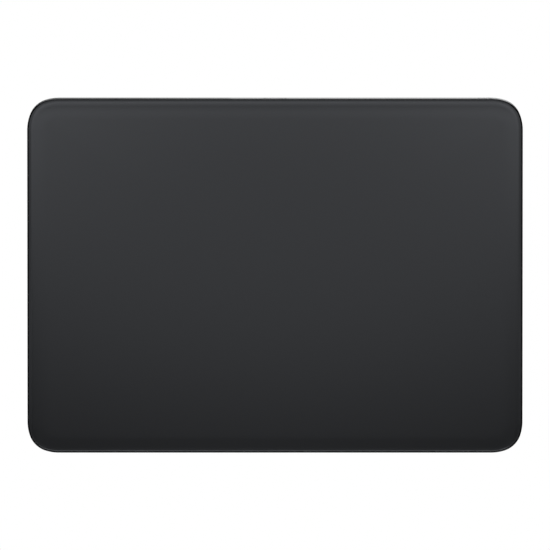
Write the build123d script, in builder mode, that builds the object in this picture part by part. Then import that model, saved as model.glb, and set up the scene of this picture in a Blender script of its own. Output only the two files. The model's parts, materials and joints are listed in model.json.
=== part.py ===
"""Wireless desktop trackpad: a wedge-shaped aluminium case that carries a floating, force-sensing glass plate.

Row frame: millimetres, +Z up, origin on the desk under the middle of the object. +X is to the user's right, +Y to
the rear (the tall end, with the charging port and the power switch), -Y to the user (the thin end).

The glass slopes up to the rear. Everything that belongs to the glass, or lies parallel to it, is drawn on the tilted
plane that deck(w) returns: its x is the row's X, its y (called v here) runs up the slope, and w is the height above
the glass's top face, so w is negative inside the object.
"""

from build123d import *
from math import atan2, cos, radians, sin
import os

os.makedirs("parts", exist_ok=True)

# ---------------------------------------------------------------- driving dimensions (mm)
WIDTH = 160.0  # overall, X
DEPTH = 114.9  # glass, Y; the switch knob stands 0.1 proud of it
FRONT_H = 4.9  # desk to glass at the front edge
REAR_H = 10.9  # desk to glass at the rear edge
CORNER_R1 = 14.31  # gentle arc at each end of a corner
CORNER_R2 = 7.877  # tight arc in the middle of a corner
CORNER_T = 18.0  # degrees turned by each gentle arc; a corner reaches 10.18 along each side

GLASS_T = 0.8
GLASS_ROUND = 0.5  # rounding of the glass's upper edge
CASE_INSET = 0.06  # the case's walls stand this far inside the glass's edge
TAPE_T = 0.1
BOARD_T = 0.7  # touch sensor board
PAD_T = 0.6  # silicone pads between sensor board and flexures
FLEXURE_T = 0.4
DECK_T = 0.9  # the case's inner deck
RIM_GAP = 0.3  # shadow gap between glass and case

UPPER_WALL = 2.0  # case wall beside the glass plate
LOWER_WALL = 4.0  # case wall under the deck
RIM_Z = 0.6  # underside of the case above the desk
RIM_ROUND = 1.3
COVER_T = 0.7
COVER_TAPE = 0.1
COVER_INSET = 1.6
FOOT_R = 4.6
FOOT_PROUD = 0.6
FOOT_SUNK = 0.3

PORT_Z = 5.1
PORT_W, PORT_H = 7.8, 2.6  # opening in the case
SWITCH_Z = 5.1
SWITCH_X = 67.73  # middle of the switch's slot
SWITCH_W, SWITCH_H = 4.86, 2.3
KNOB_X, KNOB_W = 68.7, 2.5
KNOB_PROUD = 0.1
SWITCH_TRAVEL = 2.0
REAR_WALL = 1.2  # case wall behind port and switch

PRESS = 0.2  # travel of the glass plate when it is pressed
SHIFT = 0.15  # travel of the glass plate each way when the actuator taps

# ---------------------------------------------------------------- derived
HX, HY = WIDTH / 2, DEPTH / 2
SLOPE = atan2(REAR_H - FRONT_H, DEPTH)
MID_Z = (REAR_H + FRONT_H) / 2
HV = HY / cos(SLOPE)  # half depth measured up the slope
GLASS_W = 0.0
TAPE_W = -GLASS_T
BOARD_W = TAPE_W - TAPE_T
PAD_W = BOARD_W - BOARD_T
FLEXURE_W = PAD_W - PAD_T
DECK_W = FLEXURE_W - FLEXURE_T
UNDER_W = DECK_W - DECK_T
WALL_W = TAPE_W - RIM_GAP
SEAT_Z = RIM_Z + COVER_T + COVER_TAPE
COVER_TOP = RIM_Z + COVER_T

TILT = Plane(
    origin=(0, 0, MID_Z), x_dir=(1, 0, 0), z_dir=(0, -sin(SLOPE), cos(SLOPE))
)
CENTRE = (Align.CENTER, Align.CENTER, Align.CENTER)
HANG = (Align.CENTER, Align.CENTER, Align.MAX)
STAND = (Align.CENTER, Align.CENTER, Align.MIN)


def deck(w):
    """The plane parallel to the glass, w above the glass's top face."""
    return TILT.offset(w)


def row_z(v, w):
    """Row height of a point given up the slope."""
    return MID_Z + v * sin(SLOPE) + w * cos(SLOPE)


def outline(half_x, half_y, inset, mode=Mode.ADD):
    """The case's plan, drawn inward by inset: four straight sides and four corners of three tangent arcs each."""
    hx, hy = half_x - inset, half_y - inset
    r1, r2 = CORNER_R1 - inset, CORNER_R2 - inset
    t = radians(CORNER_T)
    reach = r1 - (r1 - r2) * (cos(t) - sin(t))

    def at(centre, radius, angle):
        return (centre[0] + radius * cos(angle), centre[1] + radius * sin(angle))

    quarter = radians(90)
    c1 = (hx - r1, hy - reach)
    c2 = at(c1, r1 - r2, t)
    c3 = (hx - reach, hy - r1)
    arcs = [(c1, r1, 0, t), (c2, r2, t, quarter - t), (c3, r1, quarter - t, quarter)]
    corner = [
        tuple(at(c, r, a) for a in (start, (start + end) / 2, end))
        for c, r, start, end in arcs
    ]
    flips = [(1, 1, 1), (-1, 1, -1), (-1, -1, 1), (1, -1, -1)]
    with BuildLine() as border:
        ends = []
        for sx, sy, way in flips:
            run = corner if way > 0 else [arc[::-1] for arc in corner[::-1]]
            run = [tuple((sx * x, sy * y) for x, y in arc) for arc in run]
            for arc in run:
                ThreePointArc(*arc)
            ends.append((run[0][0], run[-1][2]))
        for k in range(4):
            Line(ends[k][1], ends[(k + 1) % 4][0])
    make_face(border.edges(), mode=mode)


def patch(x0, x1, y0, y1, mode=Mode.ADD):
    """A rectangle given by its sides."""
    with Locations(((x0 + x1) / 2, (y0 + y1) / 2)):
        Rectangle(x1 - x0, y1 - y0, mode=mode)


def block(x0, x1, y0, y1, z0, z1, mode=Mode.ADD):
    """A box given by its sides, in the row frame."""
    with Locations(((x0 + x1) / 2, (y0 + y1) / 2, (z0 + z1) / 2)):
        Box(x1 - x0, y1 - y0, z1 - z0, mode=mode)


def flat_screw(head_r, shank_r, head_h, length):
    """A countersunk screw: its head's face is at the location, its shank runs along the location's -Z."""
    Cone(shank_r, head_r, head_h, align=HANG)
    Cylinder(shank_r, length, align=HANG)
    Box(head_r * 1.1, head_r * 0.26, 0.4, align=CENTRE, mode=Mode.SUBTRACT)
    Box(head_r * 0.26, head_r * 1.1, 0.4, align=CENTRE, mode=Mode.SUBTRACT)


def write(name, label):
    """Writes one sub-part."""
    name.part.label = label
    export_step(name.part, f"parts/{label}.step")


# ---------------------------------------------------------------- shared positions
FEET = {
    "foot_front_left": (-66.0, -43.0),
    "foot_front_right": (66.0, -43.0),
    "foot_rear_left": (-66.0, 43.0),
    "foot_rear_right": (66.0, 43.0),
}
FLEX_X, FLEX_V = 62.5, 44.0  # middle of a flexure
FLEX_LX, FLEX_LV = 27.0, 17.0
TONGUE_L, TONGUE_W, TONGUE_SLOT = 18.5, 9.0, 0.8
TONGUE_ROOT = -9.0  # from the flexure's middle, towards the object's middle
SCREW_DX, SCREW_DV = 11.9, 6.9
PAD_DX, PAD_LX, PAD_LV = 5.0, 8.0, 7.0
CORNERS = [(-1, -1), (1, -1), (-1, 1), (1, 1)]
FLEXURE_NAMES = {
    (-1, -1): "flexure_front_left",
    (1, -1): "flexure_front_right",
    (-1, 1): "flexure_rear_left",
    (1, 1): "flexure_rear_right",
}
flexure_screw_spots = [
    (sx * FLEX_X + dx * SCREW_DX, sv * FLEX_V + dv * SCREW_DV)
    for sx, sv in CORNERS
    for dx, dv in CORNERS
]
SCREW_R, SCREW_HEAD_R = 0.6, 1.15

BAY_X, BAY_V0, BAY_V1 = 47.6, 3.2, 40.6  # battery bay through the deck
ACT_X, ACT_V0 = 43.5, -17.0  # actuator bay through the deck
ACT_BOSSES = [(sx * 46.6, v) for sx in (-1, 1) for v in (-13.2, -5.0)]
BRACKET_W, BRACKET_T = -5.05, 0.4

MB_X0, MB_X1, MB_Y0, MB_Y1 = 9.5, 59.6, 43.2, 52.6  # main board
MB_Z0, MB_T = 4.0, 0.8
MB_TOP = MB_Z0 + MB_T
MB_SCREWS = [(13.0, 50.4), (56.0, 50.4), (34.0, 45.0)]
PORT_TABS = [(-6.1, 51.2), (6.1, 51.2)]
PORT_TAB_TOP = PORT_Z + 1.7
SWITCH_EARS = [(60.9, 52.2), (67.8, 50.3)]
EAR_Z = 6.5
ANTENNA_Z, ANTENNA_TOP = 1.75, 4.2
ANTENNA_SCREWS = [(-55.4, 49.2), (-16.6, 49.2)]

# ================================================================ CASE
with BuildPart() as housing:
    # wedge of the case's plan, its top cut parallel to the glass
    with BuildSketch(Plane.XY.offset(RIM_Z)):
        outline(HX, HY, CASE_INSET)
    extrude(amount=12)
    with BuildSketch(deck(WALL_W)):
        Rectangle(200, 160)
    extrude(amount=12, mode=Mode.SUBTRACT)
    fillet(housing.faces().sort_by(Axis.Z)[0].edges(), RIM_ROUND)
    top_edges = (
        housing.faces()
        .filter_by(lambda f: f.normal_at(None).dot(TILT.z_dir) > 0.999)
        .sort_by(SortBy.AREA)[-1]
        .edges()
    )
    chamfer(top_edges, 0.12)
    # room for the glass plate, down to the deck
    with BuildSketch(deck(DECK_W)):
        outline(HX, HV, UPPER_WALL)
    extrude(amount=8, mode=Mode.SUBTRACT)
    # room for the works, under the deck
    with BuildSketch(deck(UNDER_W)):
        outline(HX, HV, LOWER_WALL)
    extrude(amount=-12, mode=Mode.SUBTRACT)
    # bays through the deck: battery, actuator, main board
    with BuildSketch(deck(DECK_W + 1)):
        patch(-BAY_X, BAY_X, BAY_V0, BAY_V1)
        patch(-ACT_X, ACT_X, ACT_V0, BAY_V0 + 1)
        patch(8.6, 48.4, 43.6, 49.6)
        # windows under the tongues of the flexures
        for sx, sv in CORNERS:
            with Locations((sx * (FLEX_X + 1.3), sv * FLEX_V)):
                RectangleRounded(19.2, 10.8, 1.0)
    extrude(amount=-4, mode=Mode.SUBTRACT)
    # bosses under the deck for the flexures' screws
    with BuildSketch(deck(UNDER_W + 0.2)):
        with Locations(*flexure_screw_spots):
            Circle(1.5)
    extrude(amount=-1.0)
    # bosses for the actuator's bracket
    with BuildSketch(deck(UNDER_W + 0.2)):
        with Locations(*ACT_BOSSES):
            Circle(1.9)
    extrude(amount=-(UNDER_W + 0.2 - BRACKET_W))
    # bosses for the main board, the port and the switch
    for x, y in MB_SCREWS[:2]:
        block(x - 1.6, x + 1.6, y - 1.6, y + 4.0, MB_TOP, 7.5)
    x, y = MB_SCREWS[2]
    block(x - 1.8, x + 1.8, y - 2.6, y + 1.6, MB_TOP, 7.2)
    for x, y in PORT_TABS:
        block(x - 1.4, x + 1.4, y - 1.5, y + 1.5, PORT_TAB_TOP, 7.3)
    for x, y in SWITCH_EARS:
        block(x - 1.3, x + 1.3, y - 1.2, y + 1.2, EAR_Z + 0.4, 7.3)
    for x, y in ANTENNA_SCREWS:
        block(x - 1.6, x + 1.6, y - 1.6, y + 1.6, ANTENNA_TOP, 7.2)
    # seat for the bottom cover
    with BuildSketch(Plane.XY.offset(RIM_Z - 1)):
        outline(HX, HY, COVER_INSET)
    extrude(amount=SEAT_Z - RIM_Z + 1, mode=Mode.SUBTRACT)
    # pockets that thin the rear wall behind the port and the switch
    block(-7.4, 7.4, HY - 4.6, HY - REAR_WALL, 2.6, PORT_TAB_TOP, mode=Mode.SUBTRACT)
    block(61.4, 73.4, HY - 4.6, HY - REAR_WALL, 3.0, EAR_Z + 0.4, mode=Mode.SUBTRACT)
    # the port's and the switch's slots through the rear wall
    with BuildSketch(Plane(origin=(0, HY + 1, 0), x_dir=(-1, 0, 0), z_dir=(0, 1, 0))):
        with Locations((0, PORT_Z)):
            SlotOverall(PORT_W, PORT_H)
        with Locations((-SWITCH_X, SWITCH_Z)):
            RectangleRounded(SWITCH_W, SWITCH_H, 1.1)
    extrude(amount=-3.2, mode=Mode.SUBTRACT)
    # tapped holes
    with Locations(*[deck(DECK_W).location * Location((x, v, 0)) for x, v in flexure_screw_spots]):
        Cylinder(SCREW_R + 0.02, 1.5, align=HANG, mode=Mode.SUBTRACT)
    with Locations(*[deck(BRACKET_W).location * Location((x, v, 0)) for x, v in ACT_BOSSES]):
        Cylinder(SCREW_R + 0.02, 1.7, align=STAND, mode=Mode.SUBTRACT)
    with Locations(*[(x, y, MB_TOP) for x, y in MB_SCREWS]):
        Cylinder(SCREW_R + 0.02, 1.5, align=STAND, mode=Mode.SUBTRACT)
    with Locations(*[(x, y, PORT_TAB_TOP) for x, y in PORT_TABS]):
        Cylinder(SCREW_R + 0.02, 0.9, align=STAND, mode=Mode.SUBTRACT)
    with Locations(*[(x, y, EAR_Z + 0.4) for x, y in SWITCH_EARS]):
        Cylinder(SCREW_R + 0.02, 0.9, align=STAND, mode=Mode.SUBTRACT)
    with Locations(*[(x, y, ANTENNA_TOP) for x, y in ANTENNA_SCREWS]):
        Cylinder(SCREW_R + 0.02, 1.5, align=STAND, mode=Mode.SUBTRACT)
write(housing, "housing")

with BuildPart() as bottom_cover:
    with BuildSketch(Plane.XY.offset(RIM_Z)):
        outline(HX, HY, COVER_INSET + 0.1)
    extrude(amount=COVER_T)
    chamfer(bottom_cover.faces().sort_by(Axis.Z)[0].edges(), 0.12)
    with BuildSketch(Plane.XY.offset(RIM_Z)):
        with Locations(*FEET.values()):
            Circle(FOOT_R + 0.1)
    extrude(amount=FOOT_SUNK, mode=Mode.SUBTRACT)
write(bottom_cover, "bottom_cover")

with BuildPart() as cover_adhesive:
    with BuildSketch(Plane.XY.offset(COVER_TOP)):
        outline(HX, HY, COVER_INSET + 0.4)
        outline(HX, HY, LOWER_WALL - 0.2, mode=Mode.SUBTRACT)
    extrude(amount=COVER_TAPE)
write(cover_adhesive, "cover_adhesive")

for foot_name, (foot_x, foot_y) in FEET.items():
    with BuildPart() as foot:
        with Locations((foot_x, foot_y, 0)):
            Cylinder(FOOT_R, FOOT_PROUD + FOOT_SUNK, align=STAND)
        fillet(foot.faces().sort_by(Axis.Z)[0].edges(), 0.25)
    write(foot, foot_name)

# ================================================================ GLASS PLATE
with BuildPart() as glass_plate:
    with BuildSketch(deck(GLASS_W)):
        outline(HX, HV, 0)
    extrude(amount=-GLASS_T)
    fillet(
        glass_plate.faces().sort_by(Axis(TILT.origin, TILT.z_dir))[-1].edges(),
        GLASS_ROUND,
    )
    chamfer(
        glass_plate.faces().sort_by(Axis(TILT.origin, TILT.z_dir))[0].edges(), 0.1
    )
write(glass_plate, "glass_plate")

with BuildPart() as glass_adhesive:
    with BuildSketch(deck(TAPE_W)):
        outline(HX, HV, 3.1)
    extrude(amount=-TAPE_T)
write(glass_adhesive, "glass_adhesive")

with BuildPart() as sensor_board:
    with BuildSketch(deck(BOARD_W)):
        outline(HX, HV, 2.8)
    extrude(amount=-BOARD_T)
write(sensor_board, "sensor_board")

STIFF_T = 0.4
with BuildPart() as plate_stiffener:
    with BuildSketch(deck(PAD_W)):
        with Locations((0, -6.8)):
            RectangleRounded(92, 22.6, 2.0)
        # windows between the rails, to save weight
        with GridLocations(28, 1, 3, 1):
            with Locations((0, -12.2)):
                RectangleRounded(20, 6.4, 1.0, mode=Mode.SUBTRACT)
    extrude(amount=-STIFF_T)
write(plate_stiffener, "plate_stiffener")

BAR_V0, BAR_V1 = -1.0, 2.0
with BuildPart() as attraction_bar:
    with BuildSketch(deck(PAD_W - STIFF_T)):
        patch(-36, 36, BAR_V0, BAR_V1)
    extrude(amount=-2.4)
    chamfer(attraction_bar.edges().filter_by(Axis(TILT.origin, TILT.z_dir)), 0.4)
write(attraction_bar, "attraction_bar")

with BuildPart() as touch_controller:
    with BuildSketch(deck(PAD_W)):
        patch(-22, -14, 20, 28)
        patch(-8, -2, 21, 27)
    extrude(amount=-0.8)
write(touch_controller, "touch_controller")

with BuildPart() as sensor_passives:
    with BuildSketch(deck(PAD_W)):
        with Locations((-18, 16.5)):
            with GridLocations(1.9, 2.2, 4, 2):
                Rectangle(1.2, 0.7)
        with Locations((4.5, 24)):
            with GridLocations(1.9, 1.8, 3, 4):
                Rectangle(1.2, 0.7)
    extrude(amount=-0.5)
write(sensor_passives, "sensor_passives")

CONN_V0, CONN_V1 = 31.0, 35.0
with BuildPart() as sensor_connector:
    with BuildSketch(deck(PAD_W)):
        patch(22, 36, CONN_V0, CONN_V1)
    extrude(amount=-0.9)
write(sensor_connector, "sensor_connector")

# ================================================================ SUSPENSION
with BuildPart() as gel_pads:
    with BuildSketch(deck(PAD_W)):
        for sx, sv in CORNERS:
            with Locations((sx * (FLEX_X + PAD_DX), sv * FLEX_V)):
                RectangleRounded(PAD_LX, PAD_LV, 1.2)
    extrude(amount=-PAD_T)
write(gel_pads, "gel_pads")

for (sx, sv), flexure_name in FLEXURE_NAMES.items():
    with BuildPart() as flexure:
        with BuildSketch(deck(FLEXURE_W)):
            with Locations((sx * FLEX_X, sv * FLEX_V)):
                RectangleRounded(FLEX_LX, FLEX_LV, 1.4)
            # three slots free the tongue, whose tip points away from the object's middle
            root, tip = TONGUE_ROOT, TONGUE_ROOT + TONGUE_L
            for side in (-1, 1):
                with Locations(
                    (
                        sx * (FLEX_X + (root + tip + TONGUE_SLOT) / 2),
                        sv * FLEX_V + side * (TONGUE_W + TONGUE_SLOT) / 2,
                    )
                ):
                    Rectangle(TONGUE_L + TONGUE_SLOT, TONGUE_SLOT, mode=Mode.SUBTRACT)
            with Locations((sx * (FLEX_X + tip + TONGUE_SLOT / 2), sv * FLEX_V)):
                Rectangle(TONGUE_SLOT, TONGUE_W + TONGUE_SLOT, mode=Mode.SUBTRACT)
        extrude(amount=-FLEXURE_T)
        with Locations(
            *[
                deck(FLEXURE_W).location
                * Location((sx * FLEX_X + dx * SCREW_DX, sv * FLEX_V + dv * SCREW_DV, 0))
                for dx, dv in CORNERS
            ]
        ):
            Cone(
                SCREW_R + 0.03,
                SCREW_HEAD_R + 0.03,
                FLEXURE_T,
                align=HANG,
                mode=Mode.SUBTRACT,
            )
    write(flexure, flexure_name)

with BuildPart() as strain_gauges:
    with BuildSketch(deck(FLEXURE_W)):
        for sx, sv in CORNERS:
            with Locations((sx * (FLEX_X - 5.4), sv * FLEX_V)):
                Rectangle(4.4, 5.2)
    extrude(amount=0.1)
write(strain_gauges, "strain_gauges")

with BuildPart() as flexure_screws:
    with Locations(
        *[deck(FLEXURE_W).location * Location((x, v, 0)) for x, v in flexure_screw_spots]
    ):
        flat_screw(SCREW_HEAD_R, SCREW_R, FLEXURE_T, 1.6)
write(flexure_screws, "flexure_screws")

# flat circuit on the deck that joins the four strain gauges to the main board
SF_T = 0.12
with BuildPart() as force_sensor_flex:
    with BuildSketch(deck(DECK_W)):
        for sx in (-1, 1):
            patch(*sorted((sx * 52.0, sx * 55.0)), -35.3, 35.3)
            patch(*sorted((sx * 47.8, sx * 52.0)), 31.4, 34.4)
            patch(*sorted((sx * 47.8, sx * 48.8)), 31.4, 43.2)
        patch(-48.8, 48.8, 41.4, 43.2)
        patch(40.2, 44.2, 43.0, 44.1)
    extrude(amount=SF_T)
    # tail down to its connector
    block(40.2, 44.2, 43.98, 44.1, MB_TOP + 0.35, row_z(44.0, DECK_W) + 0.12)
    block(40.2, 44.2, 43.98, 44.9, MB_TOP + 0.35, MB_TOP + 0.47)
write(force_sensor_flex, "force_sensor_flex")

# ================================================================ HAPTIC ACTUATOR
CORE_W, CORE_T = -3.0, 1.4
LEGS = [-27, -9, 9, 27]
LEG_W, LEG_V1 = 6.0, BAR_V0 - 0.4
SPINE_V0, SPINE_V1 = -15.0, -12.0
with BuildPart() as actuator_core:
    with BuildSketch(deck(CORE_W)):
        patch(-36, 36, SPINE_V0, SPINE_V1)
        for x in LEGS:
            patch(x - LEG_W / 2, x + LEG_W / 2, SPINE_V1 - 0.5, LEG_V1)
    extrude(amount=-CORE_T)
write(actuator_core, "actuator_core")

COIL_GAP, COIL_WIRE = 0.06, 0.48
with BuildPart() as actuator_coils:
    # each winding is a rounded tube around one leg of the core, drawn on the plane across the leg
    across = Plane(
        origin=TILT.from_local_coords(Vector(0, SPINE_V1 + 0.6, CORE_W - CORE_T / 2)),
        x_dir=(1, 0, 0),
        z_dir=(TILT.y_dir.X, TILT.y_dir.Y, TILT.y_dir.Z),
    )
    with BuildSketch(across):
        with Locations(*[(x, 0) for x in LEGS]):
            RectangleRounded(
                LEG_W + 2 * (COIL_GAP + 1.3), CORE_T + 2 * (COIL_GAP + COIL_WIRE), 0.9
            )
            Rectangle(
                LEG_W + 2 * COIL_GAP, CORE_T + 2 * COIL_GAP, mode=Mode.SUBTRACT
            )
    extrude(amount=LEG_V1 - SPINE_V1 - 1.4)
write(actuator_coils, "actuator_coils")

with BuildPart() as actuator_bracket:
    with BuildSketch(deck(BRACKET_W)):
        with Locations((0, -9.1)):
            RectangleRounded(99.0, 14.2, 1.6)
        # clearance windows under the coils
        with Locations(*[(x, -6.0) for x in (-18, 0, 18)]):
            RectangleRounded(7.0, 6.0, 1.0, mode=Mode.SUBTRACT)
    extrude(amount=-BRACKET_T)
    # raised land that carries the core's spine
    with BuildSketch(deck(BRACKET_W)):
        patch(-36, 36, SPINE_V0, SPINE_V1)
    extrude(amount=CORE_W - CORE_T - BRACKET_W)
    with Locations(
        *[
            deck(BRACKET_W - BRACKET_T).location
            * Location((x, v, 0))
            * Location((0, 0, 0), (180, 0, 0))
            for x, v in ACT_BOSSES
        ]
    ):
        Cone(
            SCREW_R + 0.03,
            SCREW_HEAD_R + 0.03,
            BRACKET_T,
            align=HANG,
            mode=Mode.SUBTRACT,
        )
write(actuator_bracket, "actuator_bracket")

with BuildPart() as actuator_screws:
    with Locations(
        *[
            deck(BRACKET_W - BRACKET_T).location
            * Location((x, v, 0))
            * Location((0, 0, 0), (180, 0, 0))
            for x, v in ACT_BOSSES
        ]
    ):
        flat_screw(SCREW_HEAD_R, SCREW_R, BRACKET_T, 1.9)
write(actuator_screws, "actuator_screws")

with BuildPart() as actuator_flex:
    with BuildSketch(deck(UNDER_W)):
        patch(31.4, 54.6, -10.6, -8.2)
        patch(52.3, 54.6, -10.6, 43.9)
    extrude(amount=-SF_T)
    # tail down to its connector on the main board
    tail_y = 43.9 * cos(SLOPE) - UNDER_W * sin(SLOPE)
    block(52.3, 54.6, tail_y - 0.12, tail_y, MB_TOP + 0.35, row_z(43.9, UNDER_W) - 0.04)
    block(52.3, 54.6, tail_y - 0.12, 44.9, MB_TOP + 0.35, MB_TOP + 0.47)
write(actuator_flex, "actuator_flex")

# ================================================================ BATTERY
CELL_X, CELL_Y0, CELL_Y1, CELL_Z0, CELL_Z1 = 46.0, 5.0, 37.6, 1.5, 5.6
with BuildPart() as battery_cell:
    with BuildSketch(Plane.YZ.offset(-CELL_X)):
        with Locations(((CELL_Y0 + CELL_Y1) / 2, (CELL_Z0 + CELL_Z1) / 2)):
            RectangleRounded(CELL_Y1 - CELL_Y0, CELL_Z1 - CELL_Z0, 1.0)
    extrude(amount=2 * CELL_X)
    chamfer(battery_cell.faces().sort_by(Axis.X)[0].edges(), 0.3)
    chamfer(battery_cell.faces().sort_by(Axis.X)[-1].edges(), 0.3)
write(battery_cell, "battery_cell")

with BuildPart() as battery_adhesive:
    for x in (-26, 26):
        block(x - 13, x + 13, 8, 34, COVER_TOP, CELL_Z0)
write(battery_adhesive, "battery_adhesive")

with BuildPart() as battery_protection_board:
    block(6, 40, CELL_Y1, 40.2, 2.6, 3.3)
    for x in (12, 19, 25, 31):
        block(x - 1.2, x + 1.2, CELL_Y1 + 0.5, 39.9, 3.3, 4.0)
write(battery_protection_board, "battery_protection_board")

with BuildPart() as battery_flex:
    block(36.2, 39.2, 39.2, 39.4, 3.3, MB_TOP + 0.47)
    block(36.2, 39.2, 39.2, 44.9, MB_TOP + 0.35, MB_TOP + 0.47)
write(battery_flex, "battery_flex")

# ================================================================ MAIN BOARD
with BuildPart() as main_board:
    block(MB_X0, MB_X1, MB_Y0, MB_Y1, MB_Z0, MB_TOP)
    fillet(main_board.edges().filter_by(Axis.Z), 0.6)
    with Locations(*[(x, y, MB_Z0) for x, y in MB_SCREWS]):
        Cylinder(SCREW_R + 0.1, MB_T, align=STAND, mode=Mode.SUBTRACT)
write(main_board, "main_board")

with BuildPart() as radio_shield:
    # folded can over the radio, open towards the board
    block(16.0, 30.0, 44.2, 52.0, MB_Z0 - 1.5, MB_Z0)
    block(16.2, 29.8, 44.4, 51.8, MB_Z0 - 1.3, MB_Z0, mode=Mode.SUBTRACT)
write(radio_shield, "radio_shield")

with BuildPart() as radio_chip:
    block(19.5, 25.5, 45.2, 51.2, MB_Z0 - 0.8, MB_Z0)
write(radio_chip, "radio_chip")

with BuildPart() as microcontroller:
    block(37.4, 44.4, 44.6, 51.6, MB_Z0 - 0.9, MB_Z0)
write(microcontroller, "microcontroller")

with BuildPart() as charger_chip:
    block(46.2, 49.8, 45.0, 48.6, MB_Z0 - 0.8, MB_Z0)
write(charger_chip, "charger_chip")

with BuildPart() as force_converter:
    block(46.4, 50.4, 49.2, 52.0, MB_Z0 - 0.8, MB_Z0)
write(force_converter, "force_converter")

with BuildPart() as board_passives:
    for x, y in [(31.4, 50.8), (31.4, 49.2), (31.4, 47.6), (35.4, 48.2), (35.4, 49.8), (35.4, 51.4), (52.0, 45.4), (52.0, 47.0)]:
        block(x - 0.6, x + 0.6, y - 0.35, y + 0.35, MB_Z0 - 0.5, MB_Z0)
    for x, y in [(47.2, 46.2), (22.0, 50.4), (26.0, 50.4), (30.0, 50.4)]:
        block(x - 0.9, x + 0.9, y - 0.8, y + 0.8, MB_TOP, MB_TOP + 0.8)
write(board_passives, "board_passives")

PLATE_FLEX_Y = 46.6
with BuildPart() as board_connectors:
    block(36.0, 39.4, 44.9, 46.9, MB_TOP, MB_TOP + 0.75)  # battery
    block(39.9, 44.5, 44.9, 46.9, MB_TOP, MB_TOP + 0.75)  # strain gauges
    block(52.0, 54.9, 44.9, 46.9, MB_TOP, MB_TOP + 0.75)  # actuator
    block(21.5, 31.0, PLATE_FLEX_Y, 48.8, MB_TOP, MB_TOP + 0.75)  # glass plate
    block(11.0, 13.4, 44.4, 48.4, MB_TOP, MB_TOP + 0.75)  # port
    block(53.4, 55.8, 46.2, 48.6, MB_Z0 - 0.8, MB_Z0)  # switch
    block(10.6, 13.0, 44.4, 46.8, MB_Z0 - 1.8, MB_Z0)  # antenna
write(board_connectors, "board_connectors")

with BuildPart() as board_screws:
    with Locations(*[(x, y, MB_Z0) for x, y in MB_SCREWS]):
        Cylinder(1.3, 0.5, align=HANG)
        Cylinder(SCREW_R, 2.2, align=STAND)
    with Locations(*[(x, y, MB_Z0 - 0.5) for x, y in MB_SCREWS]):
        Box(1.3, 0.3, 0.5, align=CENTRE, mode=Mode.SUBTRACT)
        Box(0.3, 1.3, 0.5, align=CENTRE, mode=Mode.SUBTRACT)
write(board_screws, "board_screws")

# flat circuit from the glass plate's board, over the rib, down to the main board
with BuildPart() as plate_flex:
    start_y = CONN_V1 * cos(SLOPE) - (PAD_W - 0.45) * sin(SLOPE)
    bend_y = 45.3
    with BuildSketch(Plane.YZ.offset(22.5)):
        with BuildLine():
            FilletPolyline(
                (start_y, row_z(CONN_V1, PAD_W - 0.45)),
                (bend_y, row_z(bend_y, PAD_W - 0.45)),
                (bend_y, MB_TOP + 0.45),
                (PLATE_FLEX_Y, MB_TOP + 0.45),
                radius=0.5,
            )
            offset(amount=SF_T, side=Side.RIGHT)
        make_face()
    extrude(amount=7.5)
write(plate_flex, "plate_flex")

# ================================================================ CHARGING PORT
rear = Plane(origin=(0, HY, 0), x_dir=(-1, 0, 0), z_dir=(0, 1, 0))
PORT_BACK = 9.4
with BuildPart() as port_shell:
    with BuildSketch(rear.offset(-0.35)):
        with Locations((0, PORT_Z)):
            SlotOverall(PORT_W - 0.1, PORT_H - 0.1)
    extrude(amount=-(REAR_WALL - 0.35) - 0.1)
    block(-4.7, 4.7, HY - PORT_BACK, HY - REAR_WALL - 0.05, PORT_Z - 1.65, PORT_Z + 1.65)
    # tabs that are screwed up against the deck's bosses
    block(-7.35, 7.35, 49.6, 52.75, PORT_TAB_TOP - 0.5, PORT_TAB_TOP)
    with BuildSketch(rear.offset(1)):
        with Locations((0, PORT_Z)):
            SlotOverall(PORT_W - 0.6, PORT_H - 0.6)
    extrude(amount=-12, mode=Mode.SUBTRACT)
    with Locations(*[(x, y, PORT_TAB_TOP - 0.5) for x, y in PORT_TABS]):
        Cylinder(SCREW_R + 0.1, 0.5, align=STAND, mode=Mode.SUBTRACT)
write(port_shell, "port_shell")

with BuildPart() as port_contact_block:
    with BuildSketch(rear.offset(-7.2)):
        with Locations((0, PORT_Z)):
            SlotOverall(PORT_W - 0.64, PORT_H - 0.64)
    extrude(amount=-(PORT_BACK - 7.2))
    # ledge under the contacts
    with BuildSketch(rear.offset(-7.3)):
        with Locations((0, PORT_Z)):
            SlotOverall(PORT_W - 0.64, PORT_H - 0.64)
        with Locations((0, PORT_Z + 0.35)):
            Rectangle(12, PORT_H - 0.6, mode=Mode.SUBTRACT)
    extrude(amount=5.4)
write(port_contact_block, "port_contact_block")

with BuildPart() as port_contacts:
    ledge = PORT_Z + 0.35 - (PORT_H - 0.6) / 2
    for k in range(8):
        x = (k - 3.5) * 0.72
        block(x - 0.17, x + 0.17, HY - 7.2, HY - 2.4, ledge, ledge + 0.12)
write(port_contacts, "port_contacts")

with BuildPart() as port_screws:
    with Locations(*[(x, y, PORT_TAB_TOP - 0.5) for x, y in PORT_TABS]):
        Cylinder(1.2, 0.5, align=HANG)
        Cylinder(SCREW_R, 1.3, align=STAND)
    with Locations(*[(x, y, PORT_TAB_TOP - 1.0) for x, y in PORT_TABS]):
        Box(1.2, 0.3, 0.5, align=CENTRE, mode=Mode.SUBTRACT)
        Box(0.3, 1.2, 0.5, align=CENTRE, mode=Mode.SUBTRACT)
write(port_screws, "port_screws")

with BuildPart() as port_flex:
    with BuildSketch(Plane.XY.offset(MB_TOP + 0.3)):
        patch(-3.2, 3.2, 44.8, HY - PORT_BACK)
        patch(3.0, 11.0, 44.8, 47.8)
    extrude(amount=SF_T)
write(port_flex, "port_flex")

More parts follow.
